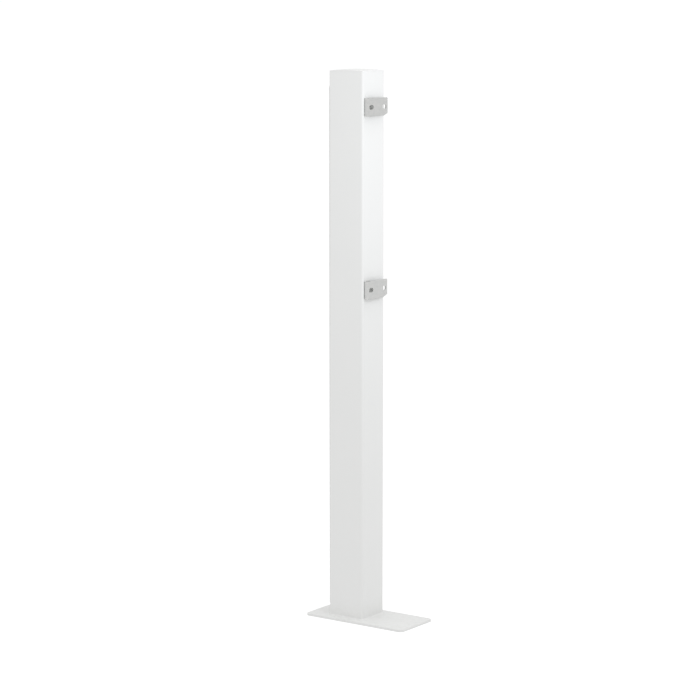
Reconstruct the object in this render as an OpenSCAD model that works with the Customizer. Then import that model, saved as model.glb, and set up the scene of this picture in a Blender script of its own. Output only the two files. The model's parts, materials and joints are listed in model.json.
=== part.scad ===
// Floor-standing post that carries a wall charger for electric vehicles.
// Millimetres, +Z up. The origin is the centre of the base plate's underside.
// The front, with the two charger brackets, faces -Y. Cables rise inside the post.

/* [Post] */
// Height from the floor to the crown of the cap
total_h = 1400; // [1150:10:1700]
// Width across the front face
post_w = 93; // [77:1:120]
// Depth from front to rear
post_d = 104; // [86:1:140]
// Wall of the post
post_wall = 3; // [2:0.5:4]
// Outside radius of the four long edges
post_r = 5; // [4.5:0.5:7]
// Leg of the weld around the foot
weld_leg = 3; // [2:0.5:5]

/* [Base plate] */
// Length from front to rear
plate_l = 300; // [250:5:420]
// Width from side to side
plate_w = 142; // [118:2:220]
// Thickness of the plate
plate_t = 6; // [4:1:12]
// Radius of its corners
plate_r = 12; // [4:1:25]
// Strip of plate left behind the post
plate_behind = 59; // [20:1:100]
// Diameter of the four anchor holes inside the post
anchor_d = 12; // [8:1:14]
// Distance from the post's inner wall to an anchor hole's centre
anchor_edge = 14; // [12:1:16]
// Diameter of the hole for the supply cable
entry_d = 40; // [30:1:42]

/* [Top cap] */
// Thickness of the cap at its corners
cap_edge = 2; // [1.5:0.5:5]
// Rise of the dome from the corners to the crown
cap_crown = 4; // [2:0.5:10]
// Depth of the skirt that drops into the post
skirt_h = 18; // [14:1:30]
// Wall of the skirt
skirt_t = 2; // [1.5:0.5:3]
// Room between the skirt and the post's inner wall
skirt_gap = 2.2; // [1.8:0.1:3]
// Height of the rubber ring around the skirt
ring_h = 3; // [2:0.5:4]
// Width of each spring clip
clip_w = 14; // [8:1:24]
// Thickness of the clips' spring strip
clip_t = 0.6; // [0.4:0.1:0.8]

/* [Charger brackets] */
// Width of a bracket's front plate
bracket_w = 85; // [78:1:110]
// Height of a bracket
bracket_h = 45; // [36:1:70]
// Thickness of the folded plate
bracket_t = 3; // [2:0.5:3]
// How far the front plate's face stands off the post
bracket_proud = 12.5; // [12:0.5:20]
// Outside radius of the bends
bracket_r = 4; // [3.5:0.5:5]
// Width of the leg that lies on the post
bracket_foot = 22; // [20:1:32]
// Distance between the two studs of that leg
stud_pitch = 24; // [20:1:24]
// Height of the cut at the lower free corner
cut_h = 6; // [2:1:10]
// Length of the cut at the lower free corner
cut_l = 16; // [4:1:18]
// Radius of the upper free corner
free_r = 3; // [1:0.5:6]
// Distance from the crown of the cap down to the upper bracket's middle
bracket_drop = 93; // [70:1:150]
// Distance between the middles of the two brackets
bracket_pitch = 455; // [300:1:600]
// Length of a charger slot
slot_l = 18; // [12:1:20]
// Height of a charger slot
slot_h = 11; // [7:0.5:12]
// Distance between the two slots of a bracket
slot_pitch = 55; // [46:1:58]
// Thickness of the rubber pad behind a bracket
pad_t = 1; // [0.8:0.1:2]

/* [Service opening] */
// Height of the opening's lower edge above the base plate
window_z = 40; // [25:1:80]
// Wall kept between the opening and the top of the post
window_top = 48; // [40:1:80]
// Width of the wall that the cover overlaps all round the opening
window_land = 13.5; // [12.5:0.5:14]
// Thickness of the service cover
cover_t = 2; // [1.5:0.5:3]
// Radius of its corners
cover_r = 6; // [3:1:10]
// Thickness of the rubber gasket under the cover
frame_t = 1.5; // [1.4:0.1:2]
// Distance from the opening's ends to the outer rows of screws
screw_inset = 20; // [10:1:40]
// Rows of two screws that hold the cover
screw_rows = 6; // [3:1:8]

/* [Cable and earth] */
// Height of the charger cable's outlet above the floor
outlet_z = 780; // [500:5:800]
// Diameter of the outlet hole
outlet_d = 32; // [20:1:36]
// Largest cable the clamp takes
cable_d = 20; // [12:1:22]
// Height of the cable clamp above the floor
clamp_z = 230; // [180:1:260]
// Height of the clamp and its bar
clamp_h = 25; // [16:1:40]
// Thickness of the clamp bar
bar_t = 3; // [2:0.5:5]
// Thickness of the saddle
saddle_t = 2.5; // [2:0.5:3]
// Height of the earth stud above the floor
stud_z = 90; // [80:1:130]
// Diameter of the earth stud
stud_d = 8; // [6:1:8]
// Length of the earth stud
stud_l = 28; // [24:1:32]

/* [Hidden] */
$fn = 48;
over = 1;              // how far a cutting shape runs past what it cuts
seat = 0.05;           // gap around a screw or nut in its hole
clear = 0.3;           // gap between pieces that come apart

// Places on the post
inner_w = post_w - 2 * post_wall;
inner_d = post_d - 2 * post_wall;
edge_r = min(post_r, 2.5 * post_wall);   // no rounder than the walls allow
inner_r = edge_r - post_wall;
post_y = plate_l / 2 - plate_behind - post_d / 2;
front_y = post_y - post_d / 2;
rear_y = post_y + post_d / 2;
post_top = total_h - cap_crown - cap_edge;
upper_z = total_h - bracket_drop;
lower_z = upper_z - bracket_pitch;
dome_reach = norm([post_w / 2 - edge_r, post_d / 2 - edge_r]) + edge_r;
dome_r = (dome_reach * dome_reach + cap_crown * cap_crown) / (2 * cap_crown);

// Bracket studs, M6, pressed into the bracket's leg, with a washer and nut inside the post
m6 = 6;
m6_head_d = 8.2;
m6_head_t = 1.4;
m6_hole_d = 6.6;
m6_washer_d = 12;
m6_washer_t = 1.6;
m6_nut_af = 10;
m6_nut_h = 5;
m6_end = 2;            // thread left past the nut
fix_x = (bracket_foot + bracket_r - bracket_w) / 2;

// Cover screws, M4 button head, and their blind rivet nuts
m4 = 4;
m4_head_d = 7.6;
m4_head_h = 2.2;
m4_socket = 2.5;
m4_l = 12;
m4_nut_d = 6;
m4_nut_l = 10;
m4_flange_d = 8;
m4_flange_t = 0.8;
bulge_l = 3;           // length of a rivet nut's swelled collar behind the wall
bulge = 1.2;           // how far the collar stands out from the nut's body

// Clamp screws, M5
m5 = 5;
m5_head_d = 8.5;
m5_head_h = 3;
m5_socket = 3;
m5_nut_af = 8;
m5_nut_h = 4;

// Service cover
cover_w = post_w - 2 * edge_r - 2 * clear;
window_w = cover_w - 2 * window_land;
window_h = post_top - window_top - plate_t - window_z;
cover_h = window_h + 2 * window_land;
cover_mid = plate_t + window_z + window_h / 2;
screw_x = (window_w + window_land) / 2;
screw_z = window_h / 2 - screw_inset;
row_pitch = 2 * screw_z / (screw_rows - 1);
cover_in = rear_y + frame_t;   // inner face of the cover

// Skirt of the cap
skirt_w = inner_w - 2 * skirt_gap;
skirt_d = inner_d - 2 * skirt_gap;
ring_drop = 4;         // from the post's end down to the rubber ring
clip_drop = 8;         // from the post's end down to the clips' outer legs

// Cable clamp
bar_y = post_y - cable_d / 2 - bar_t;   // front face of the clamp bar
ear = 11;              // length of a saddle's ear
ear_x = cable_d / 2 + saddle_t + ear / 2;

// Earth stud
stud_y = post_y + post_d / 5;
nut_af = 13;
nut_h = 6.5;
washer_d = 16;
washer_t = 1.6;

// Grommets
lip = 3;               // how far a lip reaches past its hole
lip_t = 2.5;           // thickness of a lip
entry_wall = 5;        // rubber wall around the supply cable
outlet_wall = 5;       // rubber wall around the charger cable

// A rectangle with round corners
module rounded(w, d, r) {
    square([w - 2 * r, d], center = true);
    square([w, d - 2 * r], center = true);
    for (x = [-1, 1], y = [-1, 1])
        translate([x * (w / 2 - r), y * (d / 2 - r)]) circle(r = r);
}

// A rectangular frame with round corners, wall t, standing inside w by d
module rounded_ring(w, d, r, t) {
    difference() {
        rounded(w, d, r);
        rounded(w - 2 * t, d - 2 * t, max(r - t, 0.5));
    }
}

// A horizontal slot, l long and h high
module slot(l, h) {
    square([l - h, h], center = true);
    for (x = [-1, 1]) translate([x * (l - h) / 2, 0]) circle(d = h);
}

// Children drawn flat are stood upright on a plane facing -Y or +Y
module facing_front() {
    rotate([90, 0, 0]) children();
}

module facing_rear() {
    rotate([-90, 0, 0]) children();
}

// Button-head screw: the head stands on z = 0 and the shank hangs below it
module button_screw(d, l, head_d, head_h, socket) {
    difference() {
        union() {
            cylinder(d = head_d, h = head_h * 0.4);
            translate([0, 0, head_h * 0.4])
                cylinder(d1 = head_d, d2 = head_d * 0.6, h = head_h * 0.6);
            translate([0, 0, -l]) cylinder(d = d, h = l + head_h * 0.4);
        }
        translate([0, 0, head_h * 0.4])
            cylinder(d = socket / cos(30), h = head_h, $fn = 6);
    }
}

// Blind rivet nut set in a wall: the flange stands on z = 0
module rivet_nut(bore, d, l, flange_d, flange_t, wall) {
    difference() {
        union() {
            cylinder(d = flange_d, h = flange_t);
            translate([0, 0, -l]) cylinder(d = d, h = l + flange_t);
            translate([0, 0, -wall - bulge_l]) cylinder(d = d + 2 * bulge, h = bulge_l);
        }
        translate([0, 0, -l - over]) cylinder(d = bore, h = l + flange_t + 2 * over);
    }
}

// Washer or hexagon nut standing on z = 0
module washer(d, bore, t) {
    difference() {
        cylinder(d = d, h = t);
        translate([0, 0, -over]) cylinder(d = bore, h = t + 2 * over);
    }
}

module hex_nut(af, bore, h) {
    difference() {
        cylinder(d = af / cos(30), h = h, $fn = 6);
        translate([0, 0, -over]) cylinder(d = bore, h = h + 2 * over);
    }
}

// Flat steel base with the anchor holes and the cable entry inside the post
module base_plate() {
    color("white")
    difference() {
        linear_extrude(plate_t) rounded(plate_w, plate_l, plate_r);
        translate([0, post_y, -over]) {
            cylinder(d = entry_d, h = plate_t + 2 * over);
            for (x = [-1, 1], y = [-1, 1])
                translate([x * (inner_w / 2 - anchor_edge), y * (inner_d / 2 - anchor_edge), 0])
                    cylinder(d = anchor_d, h = plate_t + 2 * over);
        }
    }
}

// The post is a box welded from flat strips, its seams ground flush and its long edges round.
// One strip of it: w by d in plan, its middle at x, y from the post's axis, from height z up
module post_strip(w, d, x, y, z = plate_t, h = post_top - plate_t) {
    translate([0, post_y, z]) linear_extrude(h) intersection() {
        rounded(post_w, post_d, edge_r);
        translate([x, y]) square([w, d], center = true);
    }
}

// Front of the post, with the holes for the bracket studs
module post_front() {
    color("white")
    difference() {
        post_strip(post_w, post_wall, 0, (post_wall - post_d) / 2);
        for (z = [upper_z, lower_z]) at_studs(z, front_y + post_wall + over)
            cylinder(d = m6_hole_d, h = post_wall + 2 * over);
    }
}

module post_left_side() {
    color("white") post_strip(post_wall, inner_d, (post_wall - post_w) / 2, 0);
}

// Right side of the post, with the charger cable's outlet
module post_right_side() {
    color("white")
    difference() {
        post_strip(post_wall, inner_d, (post_w - post_wall) / 2, 0);
        translate([post_w / 2 - post_wall - over, post_y, outlet_z]) rotate([0, 90, 0])
            cylinder(d = outlet_d, h = post_wall + 2 * over);
    }
}

// Rear strip beside the service opening, with the cover's nut holes, on the left (-1) or right (1)
module stile(side) {
    color("white")
    difference() {
        post_strip((post_w - window_w) / 2, post_wall,
            side * (post_w + window_w) / 4, (post_d - post_wall) / 2);
        at_cover_screws(rear_y - post_wall - over)
            cylinder(d = m4_nut_d + 2 * seat, h = post_wall + 2 * over);
    }
}

module post_left_stile() { stile(-1); }
module post_right_stile() { stile(1); }

// Rear strips below and above the service opening
module post_foot_rail() {
    color("white")
    post_strip(window_w, post_wall, 0, (post_d - post_wall) / 2, plate_t, window_z);
}

module post_head_rail() {
    color("white")
    post_strip(window_w, post_wall, 0, (post_d - post_wall) / 2, post_top - window_top, window_top);
}

// Fillet weld all round the foot
module foot_weld() {
    color("white")
    translate([0, post_y, plate_t])
    difference() {
        union() {
            for (x = [-1, 1], y = [-1, 1])
                translate([x * (post_w / 2 - edge_r), y * (post_d / 2 - edge_r), 0])
                    cylinder(r1 = edge_r + weld_leg, r2 = edge_r, h = weld_leg);
            weld_bar(post_w / 2, post_d - 2 * edge_r);
            rotate(90) weld_bar(post_d / 2, post_w - 2 * edge_r);
        }
        translate([0, 0, -over]) linear_extrude(weld_leg + 2 * over)
            rounded(post_w, post_d, edge_r);
    }
}

// Bar of weld section, half wide at its top and l long, centred on the post
module weld_bar(half, l) {
    translate([0, l / 2, 0]) rotate([90, 0, 0]) linear_extrude(l)
        polygon([[-half - weld_leg, 0], [half + weld_leg, 0], [half, weld_leg], [-half, weld_leg]]);
}

// Domed cap whose skirt drops into the post
module top_cap() {
    color("white") {
        intersection() {
            translate([0, post_y, post_top]) linear_extrude(cap_edge + cap_crown)
                rounded(post_w, post_d, edge_r);
            translate([0, post_y, total_h - dome_r]) sphere(r = dome_r, $fn = 360);
        }
        translate([0, post_y, post_top - skirt_h]) linear_extrude(skirt_h)
            rounded_ring(skirt_w, skirt_d, inner_r, skirt_t);
    }
}

// Rubber ring around the skirt
module top_cap_seal() {
    color("dimgray")
    translate([0, post_y, post_top - ring_drop - ring_h]) linear_extrude(ring_h)
    difference() {
        rounded(inner_w - 2 * clear, inner_d - 2 * clear, inner_r);
        rounded(skirt_w, skirt_d, inner_r);
    }
}

// Two spring clips hooked under the skirt, with a bow that bears on the post
module top_cap_clips() {
    bow_r = (skirt_gap - clip_t - clear) / 2 + clip_t / 2;
    color("silver")
    for (side = [0, 180])
        translate([0, post_y, post_top - skirt_h]) rotate(side)
        translate([skirt_w / 2, clip_w / 2, 0]) rotate([90, 0, 0]) linear_extrude(clip_w) {
            square([clip_t, skirt_h - clip_drop]);
            translate([-skirt_t - clip_t, -clip_t]) square([skirt_t + 2 * clip_t, clip_t]);
            translate([-skirt_t - clip_t, 0]) square([clip_t, skirt_h / 3]);
            translate([clip_t / 2 + (skirt_gap - clear - clip_t / 2) - bow_r, (skirt_h - clip_drop) / 2])
                circle(r = bow_r);
        }
}

// Plan of a folded bracket: front plate, near side and the leg on the post
module bracket_plan() {
    near = -bracket_w / 2;
    translate([near + bracket_r, -bracket_proud]) square([bracket_w - bracket_r, bracket_t]);
    translate([near + bracket_r, -pad_t - bracket_t]) square([bracket_foot - bracket_r, bracket_t]);
    translate([near, bracket_r - bracket_proud])
        square([bracket_t, bracket_proud - pad_t - 2 * bracket_r]);
    for (bend = [[bracket_r - bracket_proud, -1], [-pad_t - bracket_r, 0]])
        translate([near + bracket_r, bend[0]]) intersection() {
            difference() {
                circle(r = bracket_r);
                circle(r = bracket_r - bracket_t);
            }
            translate([-bracket_r, bend[1] * bracket_r]) square(bracket_r);
        }
}

// Folded bracket, its middle at height z
module bracket(z) {
    far = bracket_w / 2;
    color("silver")
    translate([0, front_y, z])
    difference() {
        translate([0, 0, -bracket_h / 2]) linear_extrude(bracket_h) bracket_plan();
        for (x = [-1, 1])
            translate([x * slot_pitch / 2, bracket_t + over - bracket_proud, 0]) facing_front()
                linear_extrude(bracket_t + 2 * over) slot(slot_l, slot_h);
        for (z = [-1, 1]) translate([fix_x, -pad_t - bracket_t, z * stud_pitch / 2])
            facing_rear() {
                translate([0, 0, -over]) cylinder(d = m6 + 2 * seat, h = bracket_t + 2 * over);
                translate([0, 0, -over]) cylinder(d = m6_head_d + 2 * seat, h = m6_head_t + over);
            }
        // The free end loses its lower corner and has a round upper one
        translate([far, bracket_t + over - bracket_proud, 0]) facing_front()
            linear_extrude(bracket_t + 2 * over) {
                polygon([[over, -bracket_h / 2 - over], [over, cut_h - bracket_h / 2],
                    [0, cut_h - bracket_h / 2], [-cut_l, -bracket_h / 2],
                    [-cut_l, -bracket_h / 2 - over]]);
                difference() {
                    translate([-free_r, bracket_h / 2 - free_r]) square(free_r + over);
                    translate([-free_r, bracket_h / 2 - free_r]) circle(r = free_r);
                }
            }
    }
}

// Children are placed at both studs of the bracket at height z, facing the front from y
module at_studs(z, y) {
    for (side = [-1, 1])
        translate([fix_x, y, z + side * stud_pitch / 2]) facing_front() children();
}

// Rubber pad between a bracket's leg and the painted post
module bracket_pad(z) {
    color("dimgray")
    difference() {
        translate([fix_x, front_y, z]) facing_front() linear_extrude(pad_t)
            square([bracket_foot - bracket_r - 1, bracket_h - 2], center = true);
        at_studs(z, front_y + over) cylinder(d = m6_hole_d, h = pad_t + 2 * over);
    }
}

// The stud's head lies flush in the bracket's leg
module bracket_studs(z) {
    l = bracket_t + pad_t + post_wall + m6_washer_t + m6_nut_h + m6_end;
    color("gainsboro")
    at_studs(z, front_y - pad_t - bracket_t + l) {
        cylinder(d = m6, h = l);
        translate([0, 0, l - m6_head_t]) cylinder(d = m6_head_d, h = m6_head_t);
    }
}

module bracket_washers(z) {
    color("gainsboro")
    at_studs(z, front_y + post_wall + m6_washer_t) washer(m6_washer_d, m6 + 2 * seat, m6_washer_t);
}

module bracket_nuts(z) {
    color("gainsboro")
    at_studs(z, front_y + post_wall + m6_washer_t + m6_nut_h)
        hex_nut(m6_nut_af, m6 + 2 * seat, m6_nut_h);
}

module upper_bracket() { bracket(upper_z); }
module upper_bracket_pad() { bracket_pad(upper_z); }
module upper_bracket_studs() { bracket_studs(upper_z); }
module upper_bracket_washers() { bracket_washers(upper_z); }
module upper_bracket_nuts() { bracket_nuts(upper_z); }
module lower_bracket() { bracket(lower_z); }
module lower_bracket_pad() { bracket_pad(lower_z); }
module lower_bracket_studs() { bracket_studs(lower_z); }
module lower_bracket_washers() { bracket_washers(lower_z); }
module lower_bracket_nuts() { bracket_nuts(lower_z); }

// Children are placed at each screw of the service cover, facing the rear
module at_cover_screws(y) {
    for (x = [-1, 1], row = [0:screw_rows - 1])
        translate([x * screw_x, y, cover_mid - screw_z + row * row_pitch]) facing_rear() children();
}

// Flat cover over the service opening
module service_cover() {
    color("white")
    difference() {
        translate([0, cover_in, cover_mid]) facing_rear()
            linear_extrude(cover_t) rounded(cover_w, cover_h, cover_r);
        at_cover_screws(cover_in - over) cylinder(d = m4 + 0.4, h = cover_t + 2 * over);
    }
}

// Rubber gasket between the cover and the post, with a hole round each nut's flange
module service_cover_seal() {
    color("dimgray")
    difference() {
        translate([0, rear_y, cover_mid]) facing_rear() linear_extrude(frame_t) difference() {
            rounded(cover_w, cover_h, cover_r);
            square([window_w, window_h], center = true);
        }
        at_cover_screws(rear_y - over) cylinder(d = m4_flange_d + 2 * clear, h = frame_t + 2 * over);
    }
}

module service_cover_screws() {
    color("gainsboro")
    at_cover_screws(cover_in + cover_t)
        button_screw(m4, m4_l, m4_head_d, m4_head_h, m4_socket);
}

// Nylon washers that keep the screws on the cover
module service_cover_washers() {
    color("ivory")
    at_cover_screws(rear_y + m4_flange_t + 0.1)
        washer(m4_head_d, m4 + 2 * seat, frame_t - m4_flange_t - 0.1);
}

module service_cover_rivet_nuts() {
    color("khaki")
    at_cover_screws(rear_y)
        rivet_nut(m4 + 2 * clear, m4_nut_d, m4_nut_l, m4_flange_d, m4_flange_t, post_wall);
}

// Rubber bush in the base plate
module cable_entry_grommet() {
    color("dimgray")
    translate([0, post_y, 0])
    difference() {
        union() {
            translate([0, 0, clear]) cylinder(d = entry_d, h = plate_t - clear);
            translate([0, 0, plate_t]) cylinder(d = entry_d + 2 * lip, h = lip_t);
        }
        translate([0, 0, -over])
            cylinder(d = entry_d - 2 * entry_wall, h = plate_t + lip_t + 2 * over);
    }
}

// Rubber bush in the side wall, with a lip on each face
module cable_outlet_grommet() {
    color("dimgray")
    translate([post_w / 2 - post_wall, post_y, outlet_z]) rotate([0, 90, 0])
    difference() {
        union() {
            translate([0, 0, -lip_t]) cylinder(d = outlet_d + 2 * lip, h = lip_t);
            cylinder(d = outlet_d, h = post_wall);
            translate([0, 0, post_wall]) cylinder(d = outlet_d + 2 * lip, h = lip_t);
        }
        translate([0, 0, -lip_t - over])
            cylinder(d = outlet_d - 2 * outlet_wall, h = post_wall + 2 * (lip_t + over));
    }
}

// Flat bar welded across the inside of the post
module cable_clamp_bar() {
    color("white")
    translate([0, bar_y, clamp_z])
    difference() {
        translate([-inner_w / 2, 0, -clamp_h / 2]) cube([inner_w, bar_t, clamp_h]);
        for (x = [-1, 1]) translate([x * ear_x, bar_t + over, 0]) facing_front()
            cylinder(d = m5 + 0.5, h = bar_t + 2 * over);
    }
}

// Saddle that holds the cable against the bar
module cable_clamp_saddle() {
    color("dimgray")
    translate([0, bar_y + bar_t, clamp_z])
    difference() {
        translate([0, 0, -clamp_h / 2]) linear_extrude(clamp_h) difference() {
            union() {
                translate([0, cable_d / 2]) circle(r = cable_d / 2 + saddle_t);
                translate([-cable_d / 2 - saddle_t, 0])
                    square([cable_d + 2 * saddle_t, cable_d / 2]);
                translate([-ear_x - ear / 2, 0]) square([2 * ear_x + ear, saddle_t]);
            }
            translate([0, cable_d / 2]) circle(d = cable_d);
            translate([-cable_d / 2, -over]) square([cable_d, cable_d / 2 + over]);
            translate([-cable_d, -cable_d]) square([2 * cable_d, cable_d]);
        }
        for (x = [-1, 1]) translate([x * ear_x, saddle_t + over, 0]) facing_front()
            cylinder(d = m5 + 0.5, h = saddle_t + 2 * over);
    }
}

module cable_clamp_screws() {
    color("gainsboro")
    for (x = [-1, 1]) translate([x * ear_x, bar_y + bar_t + saddle_t, clamp_z]) facing_rear()
        button_screw(m5, saddle_t + bar_t + m5_nut_h + over, m5_head_d, m5_head_h, m5_socket);
}

module cable_clamp_nuts() {
    color("khaki")
    for (x = [-1, 1]) translate([x * ear_x, bar_y, clamp_z]) facing_front()
        hex_nut(m5_nut_af, m5 + 2 * seat, m5_nut_h);
}

// Children are placed on the earth stud, at a distance out from the side wall
module on_stud(out) {
    translate([out - inner_w / 2, stud_y, stud_z]) rotate([0, 90, 0]) children();
}

module earth_stud() {
    color("gold") on_stud(0) cylinder(d = stud_d, h = stud_l);
}

module earth_washers() {
    color("gold")
    for (out = [0, washer_t + nut_h, 2 * washer_t + nut_h + seat])
        on_stud(out) washer(washer_d, stud_d + 2 * seat, washer_t);
}

module earth_nuts() {
    color("gold")
    for (out = [washer_t, 3 * washer_t + nut_h + seat])
        on_stud(out) hex_nut(nut_af, stud_d + 2 * seat, nut_h);
}

base_plate();
post_front();
post_left_side();
post_right_side();
post_left_stile();
post_right_stile();
post_foot_rail();
post_head_rail();
foot_weld();
top_cap();
top_cap_seal();
top_cap_clips();
upper_bracket();
upper_bracket_pad();
upper_bracket_studs();
upper_bracket_washers();
upper_bracket_nuts();
lower_bracket();
lower_bracket_pad();
lower_bracket_studs();
lower_bracket_washers();
lower_bracket_nuts();
service_cover();
service_cover_seal();
service_cover_screws();
service_cover_washers();
service_cover_rivet_nuts();
cable_entry_grommet();
cable_outlet_grommet();
cable_clamp_bar();
cable_clamp_saddle();
cable_clamp_screws();
cable_clamp_nuts();
earth_stud();
earth_washers();
earth_nuts();
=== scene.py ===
import json
import math

import bmesh
import bpy
from mathutils import Matrix, Vector


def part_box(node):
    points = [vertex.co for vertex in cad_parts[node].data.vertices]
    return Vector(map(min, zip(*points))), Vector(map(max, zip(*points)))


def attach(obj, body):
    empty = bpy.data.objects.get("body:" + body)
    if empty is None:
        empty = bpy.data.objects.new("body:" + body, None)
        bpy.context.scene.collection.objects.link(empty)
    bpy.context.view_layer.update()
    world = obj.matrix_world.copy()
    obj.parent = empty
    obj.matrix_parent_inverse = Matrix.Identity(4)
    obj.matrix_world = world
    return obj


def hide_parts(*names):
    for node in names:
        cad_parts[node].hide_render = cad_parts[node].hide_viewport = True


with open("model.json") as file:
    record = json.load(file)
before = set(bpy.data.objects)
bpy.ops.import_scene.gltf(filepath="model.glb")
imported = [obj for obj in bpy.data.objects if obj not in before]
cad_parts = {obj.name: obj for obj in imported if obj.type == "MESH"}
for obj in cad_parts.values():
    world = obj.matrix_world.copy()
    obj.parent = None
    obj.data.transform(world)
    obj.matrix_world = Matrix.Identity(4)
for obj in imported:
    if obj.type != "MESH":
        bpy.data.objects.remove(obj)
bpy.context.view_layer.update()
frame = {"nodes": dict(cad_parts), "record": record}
print("stage: frame loaded,", len(frame["nodes"]), "nodes")

mm = 0.001
tiny = 0.01 * mm                       # what counts as touching
zAxis = Vector((0, 0, 1))
facingFront = Matrix.Rotation(math.radians(90), 4, "X")      # turns +Z towards -Y
facingRear = Matrix.Rotation(math.radians(-90), 4, "X")      # turns +Z towards +Y
facingRight = Matrix.Rotation(math.radians(90), 4, "Y")      # turns +Z towards +X

# ---- camera

camera = {
    "bearing": -54.436,                   # degrees round the post, 0 is straight at its front
    "rise": 8.426,                        # degrees above the horizon
    "distance": 6.088,
    "lens": 123.6,                        # mm on a 36 mm sensor
    "aim": (-0.0097, 0.0525, 0.692),     # beside the post's axis, half way up
}


def makeCamera(c):
    bearing, rise = math.radians(c["bearing"]), math.radians(c["rise"])
    back = Vector((math.sin(bearing) * math.cos(rise), -math.cos(bearing) * math.cos(rise), math.sin(rise)))
    data = bpy.data.cameras.new("camera")
    data.lens = c["lens"]
    data.sensor_width = 36
    data.clip_end = 6000
    obj = bpy.data.objects.new("camera", data)
    obj.location = Vector(c["aim"]) + back * c["distance"]
    obj.rotation_mode = "QUATERNION"
    obj.rotation_quaternion = (-back).to_track_quat("-Z", "Y")
    bpy.context.scene.collection.objects.link(obj)
    bpy.context.scene.camera = obj


makeCamera(camera)
print("stage: camera set")

# ---- materials


def linear(code):
    parts = [int(code[i:i + 2], 16) / 255 for i in (1, 3, 5)]
    return [p / 12.92 if p <= 0.04045 else ((p + 0.055) / 1.055) ** 2.4 for p in parts] + [1.0]


def addNode(tree, kind, settings=None, inputs=None, links=None):
    node = tree.nodes.new("ShaderNode" + kind)
    for name, value in (settings or {}).items():
        setattr(node, name, value)
    for name, value in (inputs or {}).items():
        node.inputs[name].default_value = value
    for name, socket in (links or {}).items():
        tree.links.new(socket, node.inputs[name])
    return node


def startMaterial(name, shader):
    material = bpy.data.materials.new(name)
    material.use_nodes = True
    tree = material.node_tree
    tree.nodes.clear()
    place = addNode(tree, "TexCoord").outputs["Object"]
    surface = addNode(tree, "BsdfPrincipled", inputs=shader)
    output = addNode(tree, "OutputMaterial", links={"Surface": surface.outputs["BSDF"]})
    output.is_active_output = True
    return material, tree, place, surface


def noise(tree, place, size, detail=2.0):          # size is the width of one blotch, in metres
    return addNode(tree, "TexNoise", inputs={"Scale": 1 / size, "Detail": detail, "Roughness": 0.55},
                   links={"Vector": place}).outputs["Fac"]


def spread(tree, value, low, high, fromLow=0.3, fromHigh=0.7):
    # maps a range of the value, or else the middle of a noise, onto low to high
    return addNode(tree, "MapRange", links={"Value": value}, inputs={
        "From Min": fromLow, "From Max": fromHigh, "To Min": low, "To Max": high}).outputs["Result"]


def between(tree, value, first, second):           # first is a hex colour or a colour socket
    mix = addNode(tree, "Mix", {"data_type": "RGBA"})
    if isinstance(first, str):
        mix.inputs[6].default_value = linear(first)
    else:
        tree.links.new(first, mix.inputs[6])
    mix.inputs[7].default_value = linear(second)
    tree.links.new(value, mix.inputs[0])
    return mix.outputs[2]


def bumps(tree, surface, layers):                  # layers are (height socket, depth in metres)
    normal = None
    for height, depth in layers:
        node = addNode(tree, "Bump", inputs={"Strength": 1.0, "Distance": depth}, links={"Height": height})
        if normal:
            tree.links.new(normal, node.inputs["Normal"])
        normal = node.outputs["Normal"]
    tree.links.new(normal, surface.inputs["Normal"])


coat = {
    "white": "#f0f0ef",
    "shade": "#ecedec",
    "mottle": 160 * mm,
    "dust": "#dcdbd7",
    "dustHeight": 60 * mm,
    "dustAmount": 0.35,
    "dustPatch": 9 * mm,
    "roughness": (0.36, 0.44),
    "glossPatch": 35 * mm,
    "peel": 1.6 * mm,                  # a real peel of about 0.5 mm would not show, so it is coarser
    "peelDepth": 0.012 * mm,
    "wave": 90 * mm,
    "waveDepth": 0.10 * mm,
}


def powderCoat():
    # baked polyester powder on steel: a soft gloss broken by a fine orange peel over slightly wavy
    # sheet, with a little dust towards the foot
    material, tree, place, surface = startMaterial("powder_coated_steel_white",
                                                   {"Roughness": coat["roughness"][0], "IOR": 1.5})
    base = between(tree, noise(tree, place, coat["mottle"]), coat["white"], coat["shade"])
    height = addNode(tree, "SeparateXYZ", links={"Vector": place}).outputs["Z"]
    low = spread(tree, height, coat["dustAmount"], 0.0, 0.0, coat["dustHeight"])
    patchy = spread(tree, noise(tree, place, coat["dustPatch"], 5.0), 0.0, 1.0)
    dusty = addNode(tree, "Math", {"operation": "MULTIPLY"}, links={0: low, 1: patchy}).outputs[0]
    tree.links.new(between(tree, dusty, base, coat["dust"]), surface.inputs["Base Color"])
    gloss = spread(tree, noise(tree, place, coat["glossPatch"]), *coat["roughness"])
    tree.links.new(gloss, surface.inputs["Roughness"])
    bumps(tree, surface, [(noise(tree, place, coat["wave"], 0.0), coat["waveDepth"]),
                          (noise(tree, place, coat["peel"], 1.0), coat["peelDepth"])])
    return material


zinc = {
    "light": "#d9d9d8",
    "dark": "#d0d1d0",
    "roughness": (0.6, 0.68),
    "spangle": 7 * mm,
    "grain": 0.6 * mm,                 # coarser than the real tooth of about 0.1 mm, which would not show
    "grainDepth": 0.01 * mm,
}


def galvanised():
    # hot-dip zinc on folded plate: matt grey with faint crystal patches and a fine tooth
    material, tree, place, surface = startMaterial("galvanised_steel_matt",
                                                   {"Metallic": 1.0, "Roughness": zinc["roughness"][0]})
    cells = addNode(tree, "TexVoronoi", {"feature": "F1"}, {"Scale": 1 / zinc["spangle"]},
                    {"Vector": place})
    tone = addNode(tree, "SeparateColor", links={"Color": cells.outputs["Color"]}).outputs["Red"]
    tree.links.new(between(tree, tone, zinc["dark"], zinc["light"]), surface.inputs["Base Color"])
    tree.links.new(spread(tree, tone, *zinc["roughness"]), surface.inputs["Roughness"])
    bumps(tree, surface, [(noise(tree, place, zinc["grain"], 2.0), zinc["grainDepth"])])
    return material


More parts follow.
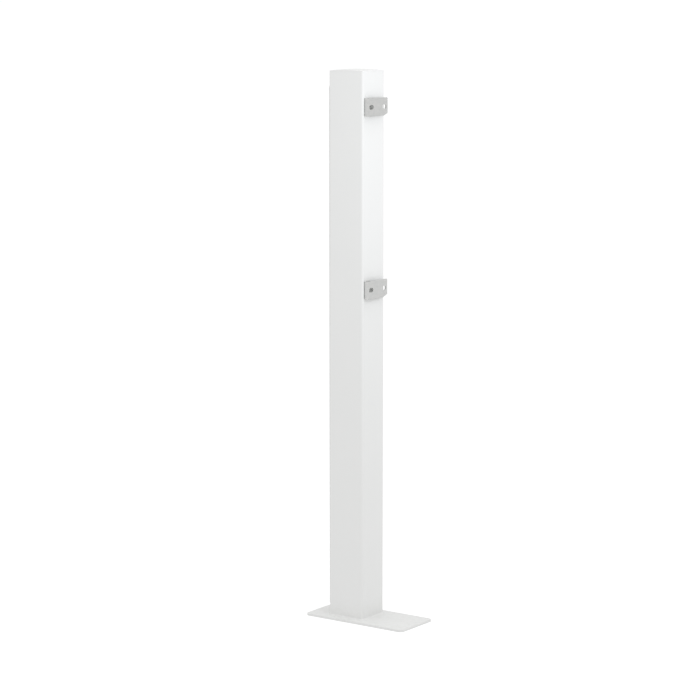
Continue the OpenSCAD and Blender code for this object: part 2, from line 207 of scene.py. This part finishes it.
small = {                              # shared by the fixings and the moulded parts
    "toothDepth": 0.004 * mm,
    "cloud": 12 * mm,
    "glossPatch": 4 * mm,
    "glossSpread": 0.06,
}


def metal(name, codeA, codeB, roughLow, roughHigh, grain):
    material, tree, place, surface = startMaterial(name, {"Metallic": 1.0, "Roughness": roughLow})
    tone = noise(tree, place, grain, 3.0)
    tree.links.new(between(tree, tone, codeA, codeB), surface.inputs["Base Color"])
    tree.links.new(spread(tree, tone, roughLow, roughHigh), surface.inputs["Roughness"])
    bumps(tree, surface, [(noise(tree, place, grain / 4, 1.0), small["toothDepth"])])
    return material


def moulded(name, codeA, codeB, roughness, grain, depth):
    material, tree, place, surface = startMaterial(name, {"Roughness": roughness, "IOR": 1.5})
    cloud, patch = noise(tree, place, small["cloud"]), noise(tree, place, small["glossPatch"])
    tree.links.new(between(tree, cloud, codeA, codeB), surface.inputs["Base Color"])
    gloss = spread(tree, patch, roughness - small["glossSpread"], roughness + small["glossSpread"])
    tree.links.new(gloss, surface.inputs["Roughness"])
    bumps(tree, surface, [(noise(tree, place, grain, 2.0), depth)])
    return material


finish = {
    "coat": powderCoat(),
    "zinc": galvanised(),
    # A2 stainless: bright, faintly grained by the cold heading
    "stainless": metal("stainless_steel_cold_headed", "#c9c9c6", "#b7b8b6", 0.24, 0.36, 1.5 * mm),
    # bright zinc plate with a thin yellow passivation
    "zincPlate": metal("zinc_plated_steel_passivated", "#d0cbb4", "#bdb9a8", 0.28, 0.4, 2 * mm),
    # tempered strip: darker, with a blue cast left by the oven
    "spring": metal("spring_steel_tempered", "#8d9094", "#7b7f86", 0.3, 0.42, 3 * mm),
    # turned brass: warm, dulled by handling
    "brass": metal("brass_turned", "#d6b878", "#c2a25f", 0.26, 0.4, 2 * mm),
    # EPDM: near black with a dry bloom
    "rubber": moulded("epdm_rubber_moulded", "#1b1b1c", "#262627", 0.72, 0.5 * mm, 0.02 * mm),
    # natural nylon: milky white and slightly waxy
    "nylon": moulded("nylon_natural_moulded", "#e9e6da", "#dfdccf", 0.45, 0.8 * mm, 0.01 * mm),
    # black nylon: spark-eroded mould grain
    "nylonBlack": moulded("nylon_black_moulded", "#202122", "#2a2b2c", 0.55, 0.4 * mm, 0.02 * mm),
}
print("stage: materials made")

# ---- mesh tools


def prism(width, depth, height, radius=0.0, segments=8):
    # block centred on the origin, its four upright edges rounded
    bm = bmesh.new()
    bmesh.ops.create_cube(bm, size=1.0)
    bmesh.ops.scale(bm, vec=(width, depth, height), verts=bm.verts)
    if radius:
        upright = [e for e in bm.edges if abs(e.verts[0].co.z - e.verts[1].co.z) > height / 2]
        bmesh.ops.bevel(bm, geom=upright, offset=radius, offset_type="OFFSET", affect="EDGES",
                        segments=segments, profile=0.5, material=-1)
    return bm


def rod(radius, height, segments=32):
    # cylinder centred on the origin, its axis along Z
    bm = bmesh.new()
    bmesh.ops.create_cone(bm, cap_ends=True, segments=segments, radius1=radius, radius2=radius,
                          depth=height)
    return bm


def turned(profile, segments=32):
    # profile is a list of (radius, height) points, closed when its ends meet
    bm = bmesh.new()
    verts = [bm.verts.new((r, 0, z)) for r, z in profile]
    edges = [bm.edges.new(pair) for pair in zip(verts, verts[1:])]
    if len(profile) > 2 and profile[0][0] > 0 and profile[-1][0] > 0:
        edges.append(bm.edges.new((verts[-1], verts[0])))
    bmesh.ops.spin(bm, geom=verts + edges, cent=(0, 0, 0), axis=zAxis, angle=math.tau, steps=segments,
                   use_merge=True)
    bmesh.ops.remove_doubles(bm, verts=bm.verts, dist=0.001 * mm)
    bmesh.ops.recalc_face_normals(bm, faces=bm.faces)
    return bm


def moved(bm, matrix):
    bmesh.ops.transform(bm, matrix=matrix, verts=bm.verts)
    return bm


def at(x, y, z, turn=None):
    place = Matrix.Translation((x, y, z))
    return place @ turn if turn else place


def repeated(bm, places):
    # one mesh with a copy of bm at each place
    shape = bpy.data.meshes.new("shape")
    bm.to_mesh(shape)
    bm.free()
    result = bmesh.new()
    for place in places:
        copy = shape.copy()
        copy.transform(place)
        result.from_mesh(copy)
        bpy.data.meshes.remove(copy)
    bpy.data.meshes.remove(shape)
    return result


def combined(bm, others, operation="DIFFERENCE"):
    # boolean of bm with each of the others in turn
    def asObject(part):
        mesh = bpy.data.meshes.new("part")
        part.to_mesh(mesh)
        part.free()
        obj = bpy.data.objects.new("part", mesh)
        bpy.context.scene.collection.objects.link(obj)
        return obj
    main = asObject(bm)
    extras = [asObject(o) for o in others]
    for extra in extras:
        cut = main.modifiers.new("cut", "BOOLEAN")
        cut.operation, cut.solver, cut.object = operation, "EXACT", extra
    depsgraph = bpy.context.evaluated_depsgraph_get()
    result = bmesh.new()
    result.from_mesh(main.evaluated_get(depsgraph).to_mesh())
    for obj in [main] + extras:
        mesh = obj.data
        bpy.data.objects.remove(obj)
        bpy.data.meshes.remove(mesh)
    bmesh.ops.remove_doubles(result, verts=result.verts, dist=0.002 * mm)
    bmesh.ops.dissolve_limit(result, angle_limit=math.radians(0.2), verts=result.verts, edges=result.edges)
    return result


def eased(bm, width, segments=2, angle=40, keep=None):
    # rounds every edge sharper than the angle, or only those that keep() accepts
    sharp = [e for e in bm.edges if len(e.link_faces) == 2
             and e.calc_face_angle() > math.radians(angle) and (keep is None or keep(e))]
    bmesh.ops.bevel(bm, geom=sharp, offset=width, offset_type="OFFSET", affect="EDGES",
                    segments=segments, profile=0.5, material=-1, clamp_overlap=True)
    return bm


def piece(name, bm, material, body, *nodes):
    # finishes a mesh as a visible piece that stands for the named nodes
    mesh = bpy.data.meshes.new(name)
    bm.to_mesh(mesh)
    bm.free()
    mesh.shade_smooth()
    mesh.set_sharp_from_angle(angle=math.radians(35))
    obj = bpy.data.objects.new(name, mesh)
    bpy.context.scene.collection.objects.link(obj)
    mesh.materials.append(finish[material])
    even = obj.modifiers.new("even", "WEIGHTED_NORMAL")
    even.keep_sharp = True
    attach(obj, body)
    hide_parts(*nodes)
    return obj


def boxOf(*nodes):                     # the low and high corners of the nodes' CAD boxes together
    boxes = [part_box(node) for node in nodes]
    return (Vector(min(low[i] for low, high in boxes) for i in range(3)),
            Vector(max(high[i] for low, high in boxes) for i in range(3)))


def middle(*nodes):
    low, high = boxOf(*nodes)
    return (low + high) / 2


def span(*nodes):
    low, high = boxOf(*nodes)
    return high - low


# strips of one welded box, its seams ground flush
walls = ["post_front", "post_left_side", "post_right_side", "post_left_stile", "post_right_stile",
         "post_foot_rail", "post_head_rail"]


# ---- base plate

plate = {
    "cornerRadius": 12 * mm,
    "edgeRadius": 1.0 * mm,
    "anchorHole": 12 * mm,
    "anchorPitch": (59 * mm, 70 * mm),
    "entryHole": 40 * mm,
}


def makeBasePlate():
    size, centre = span("base_plate"), middle("base_plate")
    post = middle(*walls)
    bm = moved(prism(*size, plate["cornerRadius"], 12), at(*centre))
    deep = size.z * 3
    cuts = [moved(rod(plate["entryHole"] / 2, deep, 64), at(post.x, post.y, centre.z))]
    for sx in (-0.5, 0.5):
        for sy in (-0.5, 0.5):
            x, y = post.x + sx * plate["anchorPitch"][0], post.y + sy * plate["anchorPitch"][1]
            cuts.append(moved(rod(plate["anchorHole"] / 2, deep), at(x, y, centre.z)))
    bm = combined(bm, cuts)
    eased(bm, plate["edgeRadius"], 3)
    piece("basePlate", bm, "coat", "post", "base_plate")


makeBasePlate()

# ---- post

tube = {
    "bend": 5 * mm,
    "wall": 3 * mm,
    "edge": 0.4 * mm,
    "studHole": 6.6 * mm,
    "studPitch": 24 * mm,
    "nutHole": 6.1 * mm,
    "outletHole": 32 * mm,
}


coverScrew = {
    "rows": 6,
    "headWidth": 7.6 * mm,
    "headHeight": 2.2 * mm,
    "thread": 4 * mm,
    "pitch": 0.7 * mm,
    "length": 12 * mm,
    "threadStart": 1 * mm,
    "threadDepth": 0.3 * mm,
    "tip": 0.6 * mm,
    "socket": 2.5 * mm,
    "flat": 0.42,                      # share of the head's radius where its dome begins
    "rim": 0.18,                       # share of the head's height below the dome
}


def coverScrewPlaces(depth, turn):
    # the cover's screws stand in two columns of equal rows
    low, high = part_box("service_cover_screws")
    head = high[0] - low[0]
    headR = coverScrew["headWidth"] / 2
    rows = coverScrew["rows"]
    places = []
    for x in (low[0] + headR, high[0] - headR):
        for row in range(rows):
            z = low[2] + headR + row * (high[2] - low[2] - 2 * headR) / (rows - 1)
            places.append(at(x, depth, z, turn))
    return places


def makePost():
    size, centre = span(*walls), middle(*walls)
    wall, through = tube["wall"], tube["wall"] * 3
    bm = moved(prism(*size, tube["bend"], 10), at(*centre))
    cuts = [moved(prism(size.x - 2 * wall, size.y - 2 * wall, size.z * 1.1), at(*centre))]
    rear, front, right = centre.y + size.y / 2, centre.y - size.y / 2, centre.x + size.x / 2
    footTop, headLow = boxOf("post_foot_rail")[1].z, boxOf("post_head_rail")[0].z
    cuts.append(moved(prism(span("post_foot_rail").x, through, headLow - footTop),
                      at(centre.x, rear, (footTop + headLow) / 2)))
    for node in ("upper_bracket", "lower_bracket"):
        for side in (-0.5, 0.5):
            x, z = middle(node + "_studs").x, middle(node).z + side * tube["studPitch"]
            cuts.append(moved(rod(tube["studHole"] / 2, through), at(x, front, z, facingFront)))
    for place in coverScrewPlaces(rear, facingRear):
        cuts.append(moved(rod(tube["nutHole"] / 2, through, 24), place))
    outlet = middle("cable_outlet_grommet")
    cuts.append(moved(rod(tube["outletHole"] / 2, through, 48), at(right, outlet.y, outlet.z, facingRight)))
    bm = combined(bm, cuts)
    eased(bm, tube["edge"], 2, 50)
    piece("postShell", bm, "coat", "post", *walls)


makePost()

# ---- weld round the foot

weld = {
    "ringPitch": 0.9 * mm,       # spacing of the mesh's rings along the bead
    "cornerSteps": 9,
    "ripple": 3.2 * mm,          # spacing of the ripples
    "rippleDepth": 0.16 * mm,
    "throat": 0.62,              # how full the bead is, 0.5 is flat and 1 is square
    "sides": 6,
}


def makeWeld():
    size, centre = span("foot_weld"), middle("foot_weld")
    post = span(*walls)
    leg, bend = size.z, tube["bend"]
    low = centre.z - leg / 2
    bm = bmesh.new()
    halfX, halfY = post.x / 2, post.y / 2
    # section at the middle of the front side: out from the wall, then round up to it
    points = [(0.0, 0.0)]
    for i in range(weld["sides"] + 1):
        t = i / weld["sides"] * math.pi / 2
        full = 1 - (1 - weld["throat"]) * math.sin(2 * t) * 0.45
        points.append((leg * math.cos(t) * full, leg * math.sin(t) * full))
    start = [bm.verts.new((-(halfX - bend), centre.y - halfY - out, low + up)) for out, up in points]
    edges = [bm.edges.new(pair) for pair in zip(start, start[1:] + start[:1])]
    geom = start + edges
    runX, runY = post.x - 2 * bend, post.y - 2 * bend
    # along each side in turn, then round the corner at its end
    for cx, cy, run, along in ((1, -1, runX, Vector((1, 0, 0))), (1, 1, runY, Vector((0, 1, 0))),
                               (-1, 1, runX, Vector((-1, 0, 0))), (-1, -1, runY, Vector((0, -1, 0)))):
        steps = max(1, round(run / weld["ringPitch"]))
        geom = bmesh.ops.spin(bm, geom=geom, cent=(0, 0, 0), axis=zAxis, angle=0,
                              dvec=along * run / steps, steps=steps)["geom_last"]
        corner = (centre.x + cx * (halfX - bend), centre.y + cy * (halfY - bend), 0)
        geom = bmesh.ops.spin(bm, geom=geom, cent=corner, axis=zAxis, angle=math.pi / 2,
                              steps=weld["cornerSteps"])["geom_last"]
    bmesh.ops.remove_doubles(bm, verts=bm.verts, dist=tiny)
    bmesh.ops.recalc_face_normals(bm, faces=bm.faces)
    for v in bm.verts:
        x, y = v.co.x - centre.x, v.co.y - centre.y
        inX, inY = max(-halfX, min(halfX, x)), max(-halfY, min(halfY, y))
        away = Vector((x - inX, y - inY, v.co.z - low))
        onPlate, onWall = away.z < tiny, away.xy.length < tiny
        if away.length < leg * 0.3 or onPlate or onWall:
            continue
        along = x - y if x * y < 0 else x + y
        lift = 0.5 + 0.5 * math.cos(math.tau * (along + away.z * 0.6) / weld["ripple"])
        v.co -= away.normalized() * weld["rippleDepth"] * lift
    piece("footWeld", bm, "coat", "post", "foot_weld")


makeWeld()
print("stage: plate, post and weld made")

# ---- cap

cap = {
    "edge": 2 * mm,
    "crown": 4 * mm,
    "rimRadius": 1.4 * mm,
    "skirtGap": 2.2 * mm,
    "skirtWall": 2 * mm,
    "rings": 40,
    "segments": 96,
}


def makeCap():
    low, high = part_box("top_cap")
    size, centre = span("top_cap"), middle("top_cap")
    bend, wall = tube["bend"], tube["wall"]
    joint = high[2] - cap["edge"] - cap["crown"]
    reach = math.hypot(size.x / 2 - bend, size.y / 2 - bend) + bend
    domeRadius = (reach ** 2 + cap["crown"] ** 2) / (2 * cap["crown"])
    wide = reach * 1.1                 # past the corners, and trimmed to them below
    profile = [(0, joint), (wide, joint)]
    for i in range(cap["rings"], -1, -1):
        r = wide * i / cap["rings"]
        profile.append((r, high[2] - domeRadius + math.sqrt(domeRadius ** 2 - r ** 2)))
    dome = moved(turned(profile, cap["segments"]), at(centre.x, centre.y, 0))
    block = moved(prism(size.x, size.y, 40 * mm, bend, 10), at(centre.x, centre.y, joint))
    bm = combined(dome, [block], "INTERSECT")
    eased(bm, cap["rimRadius"], 5, 50, lambda e: min(v.co.z for v in e.verts) > joint + cap["edge"] / 2)
    inset = wall + cap["skirtGap"]
    skirt = prism(size.x - 2 * inset, size.y - 2 * inset, joint - low[2] + 1 * mm, bend - wall, 6)
    hollow = prism(size.x - 2 * (inset + cap["skirtWall"]), size.y - 2 * (inset + cap["skirtWall"]),
                   60 * mm, 0.5 * mm, 4)
    skirt = combined(skirt, [hollow])
    moved(skirt, at(centre.x, centre.y, (joint + low[2] + 1 * mm) / 2))
    bm = combined(bm, [skirt], "UNION")
    eased(bm, 0.3 * mm, 2, 50, lambda e: max(v.co.z for v in e.verts) < joint + 0.1 * mm)
    piece("topCap", bm, "coat", "cap", "top_cap")


makeCap()

# ---- charger brackets

bracket = {
    "sheet": 3 * mm,
    "bend": 4 * mm,
    "foot": 22 * mm,
    "slotLength": 18 * mm,
    "slotHeight": 11 * mm,
    "slotPitch": 55 * mm,
    "cutLength": 16 * mm,
    "cutHeight": 6 * mm,
    "freeRadius": 3 * mm,
    "edge": 0.45 * mm,
    "studHead": 8.3 * mm,
    "studHeadDepth": 1.4 * mm,
    "stud": 6.1 * mm,
}


def makeBracket(name, node):
    low, high = (Vector(v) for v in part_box(node))
    centre = (low + high) / 2
    b = bracket
    bm = bmesh.new()
    # the folded sheet's outer face: leg on the post, side, front plate
    corners = [(low.x + b["foot"], high.y), (low.x, high.y), (low.x, low.y), (high.x, low.y)]
    verts = [bm.verts.new((x, y, low.z)) for x, y in corners]
    edges = [bm.edges.new(pair) for pair in zip(verts, verts[1:])]
    grown = bmesh.ops.extrude_edge_only(bm, edges=edges)["geom"]
    upper = [g for g in grown if isinstance(g, bmesh.types.BMVert)]
    bmesh.ops.translate(bm, vec=(0, 0, high.z - low.z), verts=upper)
    folds = [e for e in bm.edges if len(e.link_faces) == 2]
    bmesh.ops.bevel(bm, geom=folds, offset=b["bend"], offset_type="OFFSET", affect="EDGES", segments=8,
                    profile=0.5, material=-1)
    bmesh.ops.recalc_face_normals(bm, faces=bm.faces)
    side = min(bm.faces, key=lambda f: f.calc_center_median().x)
    if side.normal.x > 0:
        bmesh.ops.reverse_faces(bm, faces=bm.faces)
    bmesh.ops.solidify(bm, geom=bm.faces[:], thickness=b["sheet"])
    bmesh.ops.recalc_face_normals(bm, faces=bm.faces)
    cuts = []
    front = low.y + b["sheet"] / 2
    for sx in (-0.5, 0.5):
        slot = prism(b["slotLength"], b["slotHeight"], b["sheet"] * 2, b["slotHeight"] / 2 - 0.001 * mm, 12)
        cuts.append(moved(slot, at(centre.x + sx * b["slotPitch"], front, centre.z, facingFront)))
    # the lower free corner is sheared off and the upper one rounded
    angle = math.atan2(b["cutHeight"], b["cutLength"])
    scrap = 20 * mm                    # larger than the corner that it takes off
    shear = prism(scrap * 3, scrap, b["sheet"] * 2)
    moved(shear, at(0, -scrap / 2, 0))
    moved(shear, at(high.x - b["cutLength"], front, low.z, facingFront @ Matrix.Rotation(angle, 4, "Z")))
    cuts.append(shear)
    studs = middle(node + "_studs")
    for sz in (-0.5, 0.5):
        z = centre.z + sz * tube["studPitch"]
        cuts.append(moved(rod(b["stud"] / 2, 20 * mm), at(studs.x, high.y + 5 * mm, z, facingFront)))
        cuts.append(moved(rod(b["studHead"] / 2, b["studHeadDepth"] * 2),
                          at(studs.x, high.y - b["sheet"], z, facingFront)))
    bm = combined(bm, cuts)
    top = [e for e in bm.edges
           if all(abs(v.co.x - high.x) < tiny and abs(v.co.z - high.z) < tiny for v in e.verts)]
    bmesh.ops.bevel(bm, geom=top, offset=b["freeRadius"], offset_type="OFFSET", affect="EDGES", segments=6,
                    profile=0.5, material=-1)
    eased(bm, b["edge"], 2, 35)
    piece(name, bm, "zinc", "post", node)


makeBracket("upperBracket", "upper_bracket")
makeBracket("lowerBracket", "lower_bracket")
print("stage: cap and brackets made")

# ---- service cover

cover = {
    "corner": 6 * mm,
    "edge": 0.6 * mm,
    "hole": 4.4 * mm,
}


def makeCover():
    low, high = boxOf("service_cover")
    size, centre = high - low, (low + high) / 2
    bm = moved(prism(size.x, size.z, size.y, cover["corner"], 8), at(*centre, facingRear))
    bm = combined(bm, [moved(rod(cover["hole"] / 2, 10 * mm, 24), place)
                       for place in coverScrewPlaces(centre.y, facingRear)])
    eased(bm, cover["edge"], 3, 50,
          lambda e: min(v.co.y for v in e.verts) > high.y - tiny and not isHoleEdge(e))
    piece("serviceCover", bm, "coat", "cover", "service_cover")


def isHoleEdge(e):
    # true for the short edges round a screw hole
    spot = (e.verts[0].co + e.verts[1].co) / 2
    return any(math.hypot(spot.x - p.translation.x, spot.z - p.translation.z) < cover["hole"]
               for p in coverScrewPlaces(0, facingRear))


def makeCoverScrews():
    s = coverScrew
    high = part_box("service_cover")[1]
    r, h, shank = s["headWidth"] / 2, s["headHeight"], s["thread"] / 2
    profile = [(0, h)]
    for i in range(1, 9):
        t = i / 8 * math.pi / 2
        profile.append((r * (s["flat"] + (1 - s["flat"]) * math.sin(t)),
                        h * (s["rim"] + (1 - s["rim"]) * math.cos(t))))
    profile += [(r, 0), (shank, 0)]
    turns = int((s["length"] - 2 * s["threadStart"]) / s["pitch"])
    for i in range(turns):
        z = -s["threadStart"] - i * s["pitch"]
        profile += [(shank, z), (shank - s["threadDepth"], z - s["pitch"] / 2)]
    profile += [(shank - s["tip"], -s["length"]), (0, -s["length"])]
    screw = turned(profile, 28)
    socket = bmesh.new()
    bmesh.ops.create_cone(socket, cap_ends=True, segments=6, radius1=s["socket"] / math.sqrt(3),
                          radius2=s["socket"] / math.sqrt(3), depth=h * 2)
    moved(socket, at(0, 0, h * 1.4))
    screw = combined(screw, [socket])
    eased(screw, 0.12 * mm, 1, 60, lambda e: min(v.co.z for v in e.verts) > h * 0.9)
    bm = repeated(screw, coverScrewPlaces(high[1], facingRear))
    piece("coverScrews", bm, "stainless", "cover", "service_cover_screws")


makeCover()
makeCoverScrews()

# ---- rubber bushes

bush = {
    "lip": 2.5 * mm,
    "round": 0.9 * mm,
    "entryBore": 15 * mm,
    "entryNeck": 20 * mm,
    "outletBore": 11 * mm,
    "outletNeck": 16 * mm,
}


def makeBushes():
    size, centre = span("cable_outlet_grommet"), middle("cable_outlet_grommet")
    half, lipR = size.x / 2, size.z / 2
    neck = half - bush["lip"]
    bm = turned([(bush["outletBore"], -half), (lipR, -half), (lipR, -neck), (bush["outletNeck"], -neck),
                 (bush["outletNeck"], neck), (lipR, neck), (lipR, half), (bush["outletBore"], half)], 64)
    eased(bm, bush["round"], 4, 40, lambda e: abs(e.verts[0].co.z) > half - tiny)
    piece("outletBush", moved(bm, at(*centre, facingRight)), "rubber", "post", "cable_outlet_grommet")
    low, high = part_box("cable_entry_grommet")
    centre = middle("cable_entry_grommet")
    lipR = span("cable_entry_grommet").x / 2
    step = high[2] - bush["lip"]
    bm = turned([(bush["entryBore"], low[2]), (bush["entryNeck"], low[2]), (bush["entryNeck"], step),
                 (lipR, step), (lipR, high[2]), (bush["entryBore"], high[2])], 64)
    eased(bm, bush["round"], 4, 40, lambda e: abs(e.verts[0].co.z - high[2]) < tiny)
    piece("entryBush", moved(bm, at(centre.x, centre.y, 0)), "rubber", "post", "cable_entry_grommet")


makeBushes()
print("stage: cover, screws and bushes made")

# ---- finishes of the remaining parts

slotFinish = {
    "powder_coat_white": "coat",
    "galvanised_steel": "zinc",
    "stainless_steel": "stainless",
    "zinc_plated_steel": "zincPlate",
    "spring_steel": "spring",
    "black_rubber": "rubber",
    "white_nylon": "nylon",
    "black_nylon": "nylonBlack",
    "brass": "brass",
}

for sub in frame["record"]["subparts"]:
    node = frame["nodes"][sub["node"]]
    for slot in node.material_slots:
        slot.material = finish[slotFinish[sub["material_slot"]]]
print("stage: finishes given")

# ---- floor and light

studio = {
    "floor": "#f4f4f4",
    "floorGlow": 0.30,
    "floorSize": 4000.0,               # metres, so that its far edge stays above the picture
    "sky": 0.80,
    # a soft box near the head of the post, kept out of reflections, and a wide weak one overhead
    "boxes": {
        "key": {"place": (-0.30, -0.80, 1.36), "aim": (0.0, 0.0, 1.30), "size": 0.45, "power": 2.2,
                "color": (0.92, 0.95, 1.0), "mirrored": False},
        "overhead": {"place": (-0.5, -0.5, 4.0), "aim": (0.0, 0.0, 0.0), "size": 3.0, "power": 26.0,
                     "color": (1.0, 1.0, 1.0), "mirrored": True},
    },
}


def makeStudio(s):
    scene = bpy.context.scene
    scene.view_settings.view_transform = "Standard"
    world = bpy.data.worlds.new("studio")
    world.use_nodes = True
    world.node_tree.nodes["Background"].inputs["Color"].default_value = (1, 1, 1, 1)
    world.node_tree.nodes["Background"].inputs["Strength"].default_value = s["sky"]
    scene.world = world
    bm = bmesh.new()
    bmesh.ops.create_grid(bm, x_segments=1, y_segments=1, size=s["floorSize"] / 2)
    mesh = bpy.data.meshes.new("floor")
    bm.to_mesh(mesh)
    bm.free()
    floor = bpy.data.objects.new("floor", mesh)
    scene.collection.objects.link(floor)
    floor.visible_diffuse = False                  # the white floor throws no extra light up the post
    mesh.materials.append(startMaterial("studio_floor_matt", {
        "Base Color": linear(s["floor"]), "Roughness": 0.9, "Emission Color": (1, 1, 1, 1),
        "Emission Strength": s["floorGlow"]})[0])
    for name, box in s["boxes"].items():
        data = bpy.data.lights.new(name, "AREA")
        data.shape, data.size, data.energy, data.color = "SQUARE", box["size"], box["power"], box["color"]
        light = bpy.data.objects.new(name, data)
        light.location = box["place"]
        light.rotation_mode = "QUATERNION"
        light.rotation_quaternion = (Vector(box["aim"]) - Vector(box["place"])).to_track_quat("-Z", "Y")
        light.visible_camera = False
        light.visible_glossy = box["mirrored"]
        scene.collection.objects.link(light)


makeStudio(studio)
print("stage: studio set")
